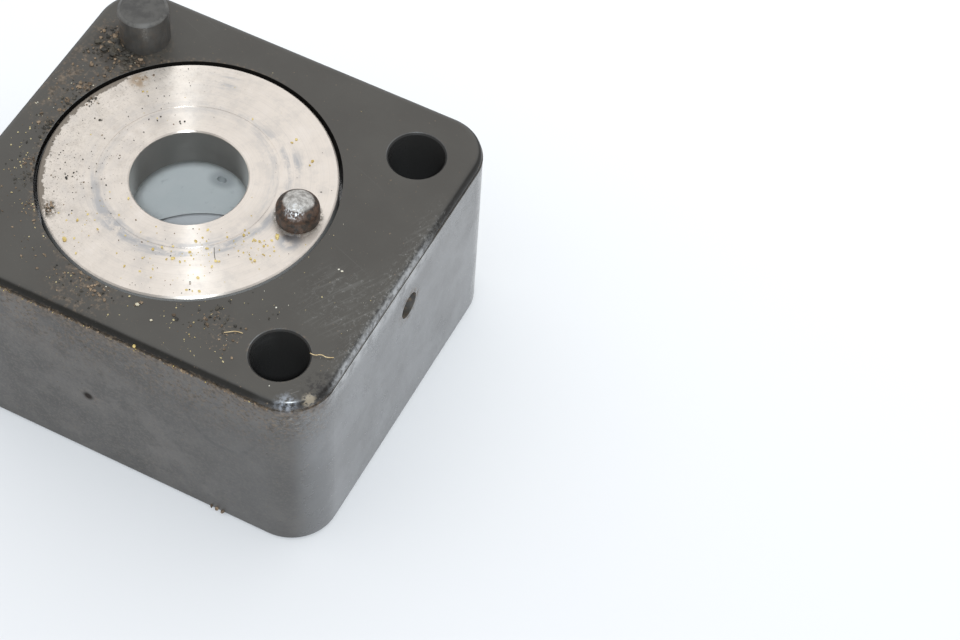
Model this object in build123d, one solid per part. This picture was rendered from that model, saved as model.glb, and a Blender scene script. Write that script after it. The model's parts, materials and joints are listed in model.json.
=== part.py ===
from build123d import *
import math
import os

# Rotary bearing block. A dark rectangular housing carries a flush aluminium
# drive disc on two thin-section ball bearings. The disc has a through bore and
# an eccentric drive pin, and the housing has a fixed stud, two corner bolt
# holes and a side screw that locks the upper bearing.
#
# Frame, in millimetres: the origin is on the disc's axis, in the plane of the
# housing's top face, at the mouth of the disc's bore. +Z goes up, out of the
# disc. +X goes to the long end of the housing, which has the bolt holes and the
# side screw.

# ---- Housing block ---------------------------------------------------------
block_height = 27.5            # along Z
front_wall = 4.0               # from the bearings to the front side
back_wall = 4.3                # from the bearings to the back side, beyond the stud
short_end_wall = 3.9           # from the bearings to the short end
long_end_wall = 9.5            # from the bearings to the long end
corner_radius = 5.6            # upright corners
top_edge_radius = 1.0          # rounded rim of the top face
rim_depth = 1.3                # the rim band, above the parting step
rim_step = 0.12                # how far the rim band stands in from the sides
base_chamfer = 0.4

# ---- Holes in the housing --------------------------------------------------
bolt_hole_diameter = 6.6       # clears an M6 screw
bolt_hole_from_long_end = 6.9
bolt_hole_spacing = 31.7
bolt_pair_offset = -0.6        # the pair's middle, along Y
bolt_hole_chamfer = 0.25
m4_tapped_diameter = 3.3
m4_hole_depth = 12.0           # of its full diameter
drill_tip_angle = 118.0        # degrees, at the bottom of the blind hole
m4_hole_from_short_end = 5.2
m4_hole_from_front = 7.3
side_screw_drop = 0.4          # its axis, below the upper bearing's middle
side_screw_offset = 0.6        # its axis, along Y
side_screw_length = 6.0
side_screw_clearance = 0.02    # radial, to the tapped hole
hex_socket_width = 2.0         # across the flats
hex_socket_depth = 2.0
side_screw_nose_diameter = 2.4
side_screw_nose_length = 0.8

# ---- Corner stud -----------------------------------------------------------
stud_diameter = 6.0
stud_height = 5.0              # above the top face
stud_shank_diameter = 5.0
stud_shank_length = 10.0
stud_chamfer = 0.4
stud_from_short_end = 7.0
stud_from_back = 6.9

# ---- Drive disc ------------------------------------------------------------
disc_overhang = 2.0            # radial, from the sleeve to the disc's rim
disc_gap = 0.45                # radial, between the disc and its recess
disc_rim_chamfer = 0.2
flange_thickness = 4.0
spigot_length = 1.5            # the part of the disc inside the sleeve
bore_diameter = 13.5
bore_chamfer = 0.15
face_groove_radius = 10.3      # the turned groove in the disc's face
face_groove_width = 0.5
face_groove_depth = 0.04

# ---- Drive pin -------------------------------------------------------------
pin_diameter = 5.0
pin_height = 3.1               # above the disc's face
pin_crown_radius = 3.2         # the domed end
pin_edge_radius = 0.8          # between the dome and the side
pin_shank_diameter = 4.0
pin_from_rim = 3.4             # its axis, in from the disc's rim
pin_angle = 4.2                # degrees from +X

# ---- Sleeve that carries the bearings --------------------------------------
sleeve_outer_diameter = 30.0
sleeve_wall = 2.0
sleeve_land = 0.7              # below its snap ring
grease_hole_diameter = 1.2
grease_hole_rise = 1.3         # its axis, above the lower bearing
grease_hole_angle = 106.6      # degrees from +X

# ---- Thin-section ball bearings, 30 x 37 x 4 -------------------------------
bearing_section = 3.5          # radial, from its bore to its outside
bearing_width = 4.0
track_depth = 0.2              # how deep each ball sits in each ring
ring_edge_chamfer = 0.15
ball_diameter = 2.0
ball_count = 24
race_clearance = 0.04          # radial, between a ball and its groove
cage_gap = 0.3                 # from the cage to each ring, radially
cage_land = 0.35               # above and below each ball
pocket_clearance = 0.05
shield_thickness = 0.15
shield_inset = 0.1             # from the bearing's face
shield_gap = 0.3               # from the shield to the inner ring

# ---- Bearing stack ---------------------------------------------------------
shim_thickness = 0.5
shim_wall = 0.9
spacer_wall = 0.9
seat_clearance = 0.02          # radial, housing seat to outer rings
sleeve_seat_clearance = 0.01   # radial, sleeve to inner rings

# ---- Snap rings and wave washer --------------------------------------------
ring_gap_angle = 24.0          # degrees, the open part of a snap ring
shaft_ring_thickness = 0.9
shaft_ring_groove_depth = 0.6
shaft_ring_stand = 1.1         # how far it stands out of the sleeve
housing_ring_thickness = 1.2
housing_ring_groove_depth = 0.8
housing_ring_stand = 1.2       # how far it stands into the bore
housing_land = 3.6             # from its snap ring down to the base
groove_clearance = 0.02        # axial and radial, in a snap ring's groove
washer_height = 1.2            # wave washer, as fitted
washer_thickness = 0.3
washer_waves = 4
washer_wall = 1.0
washer_clearance = 0.15        # radial, to the housing seat

# ---- Worked out from the values above --------------------------------------
top = 0.0
base = top - block_height
sleeve_radius = sleeve_outer_diameter / 2
cavity_radius = sleeve_radius - sleeve_wall
bearing_radius = sleeve_radius + bearing_section
seat_radius = bearing_radius + seat_clearance
disc_radius = sleeve_radius + disc_overhang
recess_radius = disc_radius + disc_gap

short_end_x = -(bearing_radius + short_end_wall)
long_end_x = bearing_radius + long_end_wall
front_y = -(bearing_radius + front_wall)
back_y = bearing_radius + back_wall
block_length = long_end_x - short_end_x
block_width = back_y - front_y
block_middle_x = (long_end_x + short_end_x) / 2
block_middle_y = (back_y + front_y) / 2
bolt_hole_x = long_end_x - bolt_hole_from_long_end

inner_bore_radius = sleeve_radius + sleeve_seat_clearance
ring_wall = (bearing_section - ball_diameter) / 2 + track_depth
inner_ring_outer = sleeve_radius + ring_wall
outer_ring_inner = bearing_radius - ring_wall
pitch_radius = (inner_ring_outer + outer_ring_inner) / 2
race_radius = ball_diameter / 2 + race_clearance
cage_height = ball_diameter + 2 * cage_land

flange_bottom = top - flange_thickness
spigot_bottom = flange_bottom - spigot_length
upper_bearing_top = flange_bottom - shim_thickness
upper_bearing_bottom = upper_bearing_top - bearing_width
housing_ring_bottom = base + housing_land
washer_bottom = housing_ring_bottom + housing_ring_thickness
stack_bottom = washer_bottom + washer_height
lower_bearing_top = stack_bottom + bearing_width
bearing_tops = {"upper": upper_bearing_top, "lower": lower_bearing_top}
sleeve_bottom = stack_bottom - shaft_ring_thickness - sleeve_land
side_screw_z = upper_bearing_top - bearing_width / 2 - side_screw_drop
grease_hole_z = lower_bearing_top + grease_hole_rise


def cylinder(radius, low, high, x=0.0, y=0.0):
    """An upright cylinder from one height to another."""
    return Pos(x, y, low) * Cylinder(radius, high - low, align=(Align.CENTER, Align.CENTER, Align.MIN))


def tube(inner, outer, low, high):
    """An upright tube on the disc's axis."""
    return cylinder(outer, low, high) - cylinder(inner, low - 1, high + 1)


def cone(bottom_radius, top_radius, low, high, x=0.0, y=0.0):
    """An upright cone frustum, used to cut chamfers."""
    shape = Cone(bottom_radius, top_radius, high - low, align=(Align.CENTER, Align.CENTER, Align.MIN))
    return Pos(x, y, low) * shape


def hole_chamfer(radius, size, face_z, x=0.0, y=0.0):
    """The cutter for a chamfer at the upper mouth of an upright hole."""
    return cone(radius, radius + size, face_z - size, face_z, x, y)


def rounded_prism(length, width, low, high, radius):
    """The housing's outline, a rectangle with round corners, between two heights."""
    outline = Pos(block_middle_x, block_middle_y, low) * RectangleRounded(length, width, radius)
    return extrude(outline, amount=high - low)


def spin_profile(points):
    """A solid of revolution about the disc's axis, from radius and height pairs."""
    face = make_face(Plane.XZ * Polyline(*points, close=True))
    return revolve(face, Axis.Z)


def radial_hole(radius, start, end, z, y=0.0):
    """A cylinder along +X, from one distance from the axis to another."""
    shape = Cylinder(radius, end - start, align=(Align.CENTER, Align.CENTER, Align.MIN))
    return Pos(start, y, z) * Rot(0, 90, 0) * shape


def radial_bore_at(angle, radius, start, end, z):
    """A radial cylinder that points at an angle round the axis."""
    return Rot(0, 0, angle) * radial_hole(radius, start, end, z)


# ---- Housing pieces --------------------------------------------------------
def make_housing_block():
    """The dark block: rounded rim, stepped seat for the bearings and all its holes."""
    rim_bottom = top - rim_depth
    body = rounded_prism(block_length, block_width, base, rim_bottom, corner_radius)
    body = chamfer(body.faces().sort_by(Axis.Z)[0].edges(), base_chamfer)
    rim = rounded_prism(
        block_length - 2 * rim_step,
        block_width - 2 * rim_step,
        rim_bottom,
        top,
        corner_radius - rim_step,
    )
    rim = fillet(rim.faces().sort_by(Axis.Z)[-1].edges(), top_edge_radius)
    block = body + rim
    block -= cylinder(recess_radius, upper_bearing_top - 1, top + 1)
    block -= cylinder(seat_radius, base - 1, upper_bearing_top)
    groove_radius = seat_radius + housing_ring_groove_depth
    block -= cylinder(groove_radius, housing_ring_bottom - groove_clearance, washer_bottom)
    block -= cone(seat_radius + base_chamfer, seat_radius, base, base + base_chamfer)
    for y in bolt_hole_ys():
        block -= cylinder(bolt_hole_diameter / 2, base - 1, top + 1, bolt_hole_x, y)
        block -= hole_chamfer(bolt_hole_diameter / 2, bolt_hole_chamfer, top, bolt_hole_x, y)
    block -= tapped_corner_hole()
    block -= cylinder(stud_shank_diameter / 2, top - stud_shank_length, top + 1, *stud_place())
    block -= radial_hole(m4_tapped_diameter / 2, seat_radius - 1, long_end_x + 1, side_screw_z, side_screw_offset)
    return block


def bolt_hole_ys():
    """The two bolt holes' places along Y."""
    reach = bolt_hole_spacing / 2
    return [bolt_pair_offset - reach, bolt_pair_offset + reach]


def tapped_corner_hole():
    """The blind M4 hole at the front corner of the short end, with the drill's cone at its bottom."""
    x = short_end_x + m4_hole_from_short_end
    y = front_y + m4_hole_from_front
    radius = m4_tapped_diameter / 2
    floor = top - m4_hole_depth
    tip = floor - radius / math.tan(math.radians(drill_tip_angle / 2))
    return cylinder(radius, floor, top + 1, x, y) + cone(0, radius, tip, floor, x, y)


def stud_place():
    """The stud's axis, at the back corner of the short end."""
    return short_end_x + stud_from_short_end, back_y - stud_from_back


def make_corner_stud():
    """The flat-topped stud, with a thinner shank pressed into the block."""
    x, y = stud_place()
    head = cylinder(stud_diameter / 2, top, top + stud_height, x, y)
    head = chamfer(head.faces().sort_by(Axis.Z)[-1].edges(), stud_chamfer)
    shank = cylinder(stud_shank_diameter / 2, top - stud_shank_length, top, x, y)
    return head + shank


def make_side_screw():
    """The M4 socket set screw, whose nose bears on the upper bearing's outer ring."""
    radius = m4_tapped_diameter / 2 - side_screw_clearance
    start = math.sqrt(bearing_radius**2 - side_screw_offset**2)
    end = start + side_screw_length
    nose_end = start + side_screw_nose_length
    screw = radial_hole(radius, nose_end, end, side_screw_z, side_screw_offset)
    screw += radial_hole(side_screw_nose_diameter / 2, start - 0.5, nose_end, side_screw_z, side_screw_offset)
    screw -= cylinder(bearing_radius, side_screw_z - 3, side_screw_z + 3)
    hexagon = extrude(RegularPolygon(hex_socket_width / 2, 6, major_radius=False), amount=hex_socket_depth)
    screw -= Pos(end - hex_socket_depth, side_screw_offset, side_screw_z) * Rot(0, 90, 0) * hexagon
    return screw


# ---- Rotor pieces ----------------------------------------------------------
def make_rotor_disc():
    """The turned aluminium disc, with the spigot that centres the sleeve."""
    disc = cylinder(disc_radius, flange_bottom, top)
    disc = chamfer(disc.faces().sort_by(Axis.Z)[-1].edges(), disc_rim_chamfer)
    disc += cylinder(cavity_radius, spigot_bottom, flange_bottom)
    radius = bore_diameter / 2
    disc -= cylinder(radius, spigot_bottom - 1, top + 1)
    disc -= hole_chamfer(radius, bore_chamfer, top)
    disc -= cone(radius + bore_chamfer, radius, spigot_bottom, spigot_bottom + bore_chamfer)
    groove_inner = face_groove_radius - face_groove_width / 2
    groove_outer = face_groove_radius + face_groove_width / 2
    disc -= tube(groove_inner, groove_outer, top - face_groove_depth, top + 1)
    disc -= cylinder(pin_shank_diameter / 2, flange_bottom, top + 1, *pin_place())
    return disc


def pin_place():
    """The drive pin's axis."""
    angle = math.radians(pin_angle)
    reach = disc_radius - pin_from_rim
    return reach * math.cos(angle), reach * math.sin(angle)


def make_drive_pin():
    """The domed steel pin, with a thinner shank pressed into the disc."""
    x, y = pin_place()
    head = cylinder(pin_diameter / 2, top, top + pin_height, x, y)
    head &= Pos(x, y, top + pin_height - pin_crown_radius) * Sphere(pin_crown_radius)
    crown = head.faces().sort_by(Axis.Z)[-1]
    head = fillet(crown.edges().filter_by(GeomType.CIRCLE), pin_edge_radius)
    shank = cylinder(pin_shank_diameter / 2, flange_bottom, top, x, y)
    return head + shank


def make_bearing_sleeve():
    """The steel sleeve that the inner rings sit on, open right through."""
    sleeve = tube(cavity_radius, sleeve_radius, sleeve_bottom, flange_bottom)
    groove_floor = sleeve_radius - shaft_ring_groove_depth
    groove_low = stack_bottom - shaft_ring_thickness - groove_clearance
    sleeve -= tube(groove_floor, sleeve_radius + 1, groove_low, stack_bottom)
    sleeve -= grease_hole(cavity_radius - 1, sleeve_radius + 1)
    return sleeve


def grease_hole(start, end):
    """The small radial hole that lets grease into the space between the bearings."""
    return radial_bore_at(grease_hole_angle, grease_hole_diameter / 2, start, end, grease_hole_z)


def make_flange_shim():
    """The thin ring that keeps the flange clear of the upper bearing's shield."""
    return tube(inner_bore_radius, inner_bore_radius + shim_wall, upper_bearing_top, flange_bottom)


def make_inner_spacer():
    """The tube between the two inner rings."""
    spacer = tube(inner_bore_radius, inner_bore_radius + spacer_wall, lower_bearing_top, upper_bearing_bottom)
    return spacer - grease_hole(sleeve_radius - 1, sleeve_radius + 2)


def make_outer_spacer():
    """The tube between the two outer rings."""
    return tube(bearing_radius - spacer_wall, bearing_radius, lower_bearing_top, upper_bearing_bottom)


# ---- Bearing pieces --------------------------------------------------------
def race_groove(bearing_top):
    """The ring-shaped cutter that leaves both ball tracks."""
    return Pos(0, 0, bearing_top - bearing_width / 2) * Torus(pitch_radius, race_radius)


def make_inner_ring(bearing_top):
    """An inner ring with its ball track."""
    low = bearing_top - bearing_width
    c = ring_edge_chamfer
    ring = spin_profile([
        (inner_bore_radius + c, low),
        (inner_ring_outer, low),
        (inner_ring_outer, bearing_top),
        (inner_bore_radius + c, bearing_top),
        (inner_bore_radius, bearing_top - c),
        (inner_bore_radius, low + c),
    ])
    return ring - race_groove(bearing_top)


def make_outer_ring(bearing_top):
    """An outer ring with its ball track and a seat for each shield."""
    low = bearing_top - bearing_width
    c = ring_edge_chamfer
    ring = spin_profile([
        (outer_ring_inner, low),
        (bearing_radius - c, low),
        (bearing_radius, low + c),
        (bearing_radius, bearing_top - c),
        (bearing_radius - c, bearing_top),
        (outer_ring_inner, bearing_top),
    ])
    return ring - race_groove(bearing_top)


def make_balls(bearing_top):
    """The balls of one bearing, as separate solids."""
    height = bearing_top - bearing_width / 2
    balls = []
    for index in range(ball_count):
        angle = 360 * index / ball_count
        balls.append(Rot(0, 0, angle) * Pos(pitch_radius, 0, height) * Sphere(ball_diameter / 2))
    return balls


def make_cage(bearing_top):
    """The cage of one bearing: a ring with a round pocket for each ball."""
    middle = bearing_top - bearing_width / 2
    inner = inner_ring_outer + cage_gap
    outer = outer_ring_inner - cage_gap
    cage = tube(inner, outer, middle - cage_height / 2, middle + cage_height / 2)
    pocket_radius = ball_diameter / 2 + pocket_clearance
    for index in range(ball_count):
        cage -= radial_bore_at(360 * index / ball_count, pocket_radius, inner - 0.5, outer + 0.5, middle)
    return cage


def make_shield(face_z, inward):
    """A sheet-steel shield held by the outer ring, just inside the bearing's face."""
    near = face_z + inward * shield_inset
    far = near + inward * shield_thickness
    return tube(inner_ring_outer + shield_gap, outer_ring_inner, min(near, far), max(near, far))


# ---- Retainers -------------------------------------------------------------
def open_ring(inner, outer, low, high, angle):
    """A flat ring with a gap, as a snap ring has."""
    ring = tube(inner, outer, low, high)
    reach = outer + 1
    half = math.radians(ring_gap_angle / 2)
    wedge = make_face(Polyline((0, 0), (reach, -reach * math.tan(half)), (reach, reach * math.tan(half)), close=True))
    cutter = Pos(0, 0, low - 1) * Rot(0, 0, angle) * extrude(wedge, amount=high - low + 2)
    return ring - cutter


def make_shaft_snap_ring():
    """The snap ring on the sleeve, under the lower inner ring."""
    inner = sleeve_radius - shaft_ring_groove_depth + groove_clearance
    outer = sleeve_radius + shaft_ring_stand
    return open_ring(inner, outer, stack_bottom - shaft_ring_thickness, stack_bottom, -90)


def make_housing_snap_ring():
    """The snap ring in the housing's bore, under the wave washer."""
    inner = seat_radius - housing_ring_stand
    outer = seat_radius + housing_ring_groove_depth - groove_clearance
    return open_ring(inner, outer, housing_ring_bottom, washer_bottom, 90)


def make_wave_washer():
    """The spring washer that preloads the bearings, rising and falling round its ring."""
    outer = bearing_radius - washer_clearance
    inner = outer - washer_wall
    swing = (washer_height - washer_thickness) / 2
    middle = washer_bottom + washer_height / 2
    steps = washer_waves * 8
    edges = []
    for radius in (inner, outer):
        points = []
        for index in range(steps):
            angle = 2 * math.pi * index / steps
            height = middle - washer_thickness / 2 + swing * math.cos(washer_waves * angle)
            points.append((radius * math.cos(angle), radius * math.sin(angle), height))
        edges.append(Spline(*points, periodic=True))
    surface = Face.make_surface_from_curves(edges[0].edge(), edges[1].edge())
    return Solid.extrude(surface, Vector(0, 0, washer_thickness))


# ---- Files -----------------------------------------------------------------
def write(name, shape):
    """Write one sub-part, as one solid or as a group of them."""
    solids = []
    for item in shape if isinstance(shape, list) else [shape]:
        solids.extend(item.solids())
    piece = solids[0] if len(solids) == 1 else Compound(children=solids)
    piece.label = name
    export_step(piece, os.path.join("parts", name + ".step"))


os.makedirs("parts", exist_ok=True)
write("housing_block", make_housing_block())
write("corner_stud", make_corner_stud())
write("side_screw", make_side_screw())
write("rotor_disc", make_rotor_disc())
write("drive_pin", make_drive_pin())
write("bearing_sleeve", make_bearing_sleeve())
write("flange_shim", make_flange_shim())
write("inner_spacer", make_inner_spacer())
write("outer_spacer", make_outer_spacer())
for place, bearing_top in bearing_tops.items():
    write(place + "_inner_ring", make_inner_ring(bearing_top))
    write(place + "_outer_ring", make_outer_ring(bearing_top))
    write(place + "_balls", make_balls(bearing_top))
    write(place + "_cage", make_cage(bearing_top))
    write(place + "_top_shield", make_shield(bearing_top, -1))
    write(place + "_bottom_shield", make_shield(bearing_top - bearing_width, 1))
write("wave_washer", make_wave_washer())
write("shaft_snap_ring", make_shaft_snap_ring())
write("housing_snap_ring", make_housing_snap_ring())
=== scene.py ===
import bmesh
import bpy
import json
import math
import random
from mathutils import Matrix, Vector


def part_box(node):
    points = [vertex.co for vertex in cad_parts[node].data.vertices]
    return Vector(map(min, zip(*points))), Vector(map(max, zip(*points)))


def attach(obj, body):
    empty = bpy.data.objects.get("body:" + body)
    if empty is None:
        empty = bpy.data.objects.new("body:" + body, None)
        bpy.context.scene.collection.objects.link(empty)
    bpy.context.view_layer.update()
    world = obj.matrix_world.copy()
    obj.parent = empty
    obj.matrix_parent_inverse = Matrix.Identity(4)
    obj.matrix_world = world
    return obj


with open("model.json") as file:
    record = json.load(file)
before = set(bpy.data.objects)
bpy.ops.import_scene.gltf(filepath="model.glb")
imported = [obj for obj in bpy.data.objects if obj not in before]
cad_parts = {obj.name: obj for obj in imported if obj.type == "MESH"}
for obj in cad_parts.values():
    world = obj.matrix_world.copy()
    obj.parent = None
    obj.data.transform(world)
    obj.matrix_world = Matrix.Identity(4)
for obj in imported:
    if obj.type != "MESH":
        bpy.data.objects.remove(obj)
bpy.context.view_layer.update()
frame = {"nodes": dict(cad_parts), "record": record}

MM = 0.001

# ---- Places read from the frame ---------------------------------------------
block_low, block_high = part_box("housing_block")
disc_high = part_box("rotor_disc")[1]
stud_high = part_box("corner_stud")[1]
pin_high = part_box("drive_pin")[1]
mounts = {mount["name"]: mount for mount in frame["record"]["mounts"]}
top_z = block_high.z
base_z = block_low.z
front_y = block_low.y
long_end_x = block_high.x
block_middle = (block_low + block_high) / 2
block_half = (block_high - block_low) / 2
disc_radius = disc_high.x
bore_radius = mounts["hub_bore"]["dims"]["r_mm"] * MM
stud_x, stud_y = mounts["stud_end"]["pos_m"][:2]
stud_radius = mounts["stud_end"]["dims"]["r_mm"] * MM
pin_x, pin_y = mounts["drive_pin_end"]["pos_m"][:2]
pin_radius = mounts["drive_pin_end"]["dims"]["r_mm"] * MM
bolt_x, bolt_y = mounts["corner_bolts"]["pos_m"][:2]
bolt_reach = mounts["corner_bolts"]["dims"]["spacing_y_mm"] * MM / 2
bolt_radius = mounts["corner_bolts"]["dims"]["hole_r_mm"] * MM

# ---- Places that the frame doesn't name -------------------------------------
rim_depth = 1.3 * MM           # the step under the block's top rim
rim_reach = 2.5 * MM           # how far in from the sides the rim's rounding can be
disc_gap = 0.45 * MM
recess_radius = disc_radius + disc_gap
sleeve_radius = 13.0 * MM      # the inside of the sleeve
grease_hole = (-3.7 * MM, 12.5 * MM, top_z - 16.2 * MM)
rust_mark = (-0.7 * MM, front_y, top_z - 15.4 * MM)
screw_head = (long_end_x, 0.6 * MM, top_z - 6.9 * MM)
camera_azimuth = -0.412


# ---- Node tree helper -------------------------------------------------------
class Tree:
    """One material's node tree, built with short calls. Lengths are in metres."""

    def __init__(self, name):
        self.material = bpy.data.materials.new(name)
        self.material.use_nodes = True
        self.tree = self.material.node_tree
        self.shader = self.tree.nodes["Principled BSDF"]
        coordinates = self.add("ShaderNodeTexCoord")
        self.position = coordinates.outputs["Object"]
        self.x, self.y, self.z = self.add("ShaderNodeSeparateXYZ", Vector=self.position).outputs
        normal = self.add("ShaderNodeSeparateXYZ", Vector=coordinates.outputs["Normal"])
        self.normal_x, self.normal_y, self.normal_z = normal.outputs

    def add(self, kind, settings=None, **inputs):
        """A new node, with its settings and its inputs by name."""
        node = self.tree.nodes.new(kind)
        for key, value in (settings or {}).items():
            setattr(node, key, value)
        for key, value in inputs.items():
            self.feed(node.inputs[key.replace("_", " ")], value)
        return node

    def feed(self, socket, value):
        """Links an output to a socket, or sets the socket's own value."""
        if isinstance(value, bpy.types.NodeSocket):
            self.tree.links.new(value, socket)
        else:
            socket.default_value = value

    def math(self, operation, a, b=0.0, clamp=False):
        """One arithmetic step."""
        node = self.add("ShaderNodeMath", {"operation": operation, "use_clamp": clamp})
        for socket, value in zip(node.inputs, (a, b)):
            self.feed(socket, value)
        return node.outputs[0]

    def span(self, value, low, high, to_low=0.0, to_high=1.0):
        """Maps a range of one value smoothly to another range, and clamps it."""
        node = self.add("ShaderNodeMapRange", {"interpolation_type": "SMOOTHSTEP"})
        for socket, number in zip(node.inputs, (value, low, high, to_low, to_high)):
            self.feed(socket, number)
        return node.outputs[0]

    def mix(self, amount, a, b):
        """A colour between two others."""
        node = self.add("ShaderNodeMix", {"data_type": "RGBA"})
        self.feed(node.inputs[0], amount)
        for socket, value in ((node.inputs[6], a), (node.inputs[7], b)):
            self.feed(socket, (*value, 1.0) if isinstance(value, tuple) else value)
        return node.outputs[2]

    def noise(self, size, detail=3.0, roughness=0.55, vector=None):
        """Cloudy noise whose features are about one size across."""
        vector = self.position if vector is None else vector
        node = self.add("ShaderNodeTexNoise", Vector=vector, Scale=1 / size, Detail=detail,
                        Roughness=roughness)
        return node.outputs[0]

    def cloudy(self, size, detail, roughness, *levels):
        """Noise of one size, mapped between levels as span does."""
        return self.span(self.noise(size, detail, roughness), *levels)

    def stretched(self, angle, along, across, shift=0.0):
        """Object coordinates turned about Z and stretched, for scratches and brushed lines."""
        settings = {"vector_type": "POINT"}
        turn = self.add("ShaderNodeMapping", settings, Vector=self.position, Rotation=(0, 0, angle))
        scale = (1 / along, 1 / across, 1 / across)
        spread = self.add("ShaderNodeMapping", settings, Vector=turn.outputs[0], Scale=scale)
        self.feed(spread.inputs["Location"], (shift, shift, shift))
        return spread.outputs[0]

    def polar(self, along, across):
        """Coordinates for noise that runs round the disc's axis, by a feature's length and its width."""
        true_length_radius = 12 * MM
        flat = self.add("ShaderNodeCombineXYZ", X=self.x, Y=self.y)
        unit = self.add("ShaderNodeVectorMath", {"operation": "NORMALIZE"}, Vector=flat.outputs[0])
        turn = self.add("ShaderNodeVectorMath", {"operation": "SCALE"}, Vector=unit.outputs[0])
        self.feed(turn.inputs["Scale"], true_length_radius / along)
        reach = self.add("ShaderNodeCombineXYZ", Z=self.math("DIVIDE", self.radius(), across))
        both = self.add("ShaderNodeVectorMath", {"operation": "ADD"})
        self.feed(both.inputs[0], turn.outputs[0])
        self.feed(both.inputs[1], reach.outputs[0])
        return both.outputs[0]

    def rings(self, width, detail):
        """Noise that changes only with the distance from the disc's axis."""
        node = self.add("ShaderNodeTexNoise", {"noise_dimensions": "1D"}, Scale=1 / width,
                        Detail=detail, W=self.radius())
        return node.outputs[0]

    def lines(self, angle, along, across, low, high, shift=0.0):
        """A mask of thin broken lines that run one way."""
        vector = self.stretched(angle, along, across, shift)
        return self.span(self.noise(1.0, 2.0, 0.5, vector), low, high)

    def radius(self, x=0.0, y=0.0):
        """The distance from an upright axis."""
        dx = self.math("SUBTRACT", self.x, x)
        dy = self.math("SUBTRACT", self.y, y)
        squares = self.math("ADD", self.math("POWER", dx, 2), self.math("POWER", dy, 2))
        return self.math("SQRT", squares)

    def near(self, x, y, inner, outer):
        """A mask that is one near an upright axis and falls to zero further out."""
        return self.span(self.radius(x, y), inner, outer, 1.0, 0.0)

    def ring(self, radius, width, x=0.0, y=0.0):
        """A mask that is one on a circle about an upright axis."""
        return self.band(self.radius(x, y), radius, width)

    def band(self, value, middle, width):
        """A mask that is one where a value is near its middle."""
        off = self.math("ABSOLUTE", self.math("SUBTRACT", value, middle))
        return self.span(off, 0.0, width, 1.0, 0.0)

    def distance(self, place):
        """The distance from one point in space."""
        node = self.add("ShaderNodeVectorMath", {"operation": "DISTANCE"})
        self.feed(node.inputs[0], self.position)
        self.feed(node.inputs[1], place)
        return node.outputs["Value"]

    def spot(self, place, inner, outer):
        """A mask that is one round one point in space and falls to zero further out."""
        return self.span(self.distance(place), inner, outer, 1.0, 0.0)

    def largest(self, *masks):
        """The largest of some masks at each point."""
        result = masks[0]
        for mask in masks[1:]:
            result = self.math("MAXIMUM", result, mask)
        return result

    def times(self, *masks):
        """The product of some masks and numbers."""
        result = masks[0]
        for mask in masks[1:]:
            result = self.math("MULTIPLY", result, mask)
        return result

    def bump(self, height, distance, strength=1.0, normal=None):
        """Tilts the surface by a height map. Distance is the height of a value of one."""
        node = self.add("ShaderNodeBump", Height=height, Distance=distance, Strength=strength)
        if normal is not None:
            self.feed(node.inputs["Normal"], normal)
        return node.outputs[0]

    def finish(self, colour, roughness, normal=None, **constants):
        """Connects the shader and sets its constants on its own sockets."""
        self.feed(self.shader.inputs["Base Color"], colour)
        self.feed(self.shader.inputs["Roughness"], roughness)
        if normal is not None:
            self.feed(self.shader.inputs["Normal"], normal)
        for key, value in constants.items():
            self.shader.inputs[key.replace("_", " ")].default_value = value
        return self.material


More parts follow.
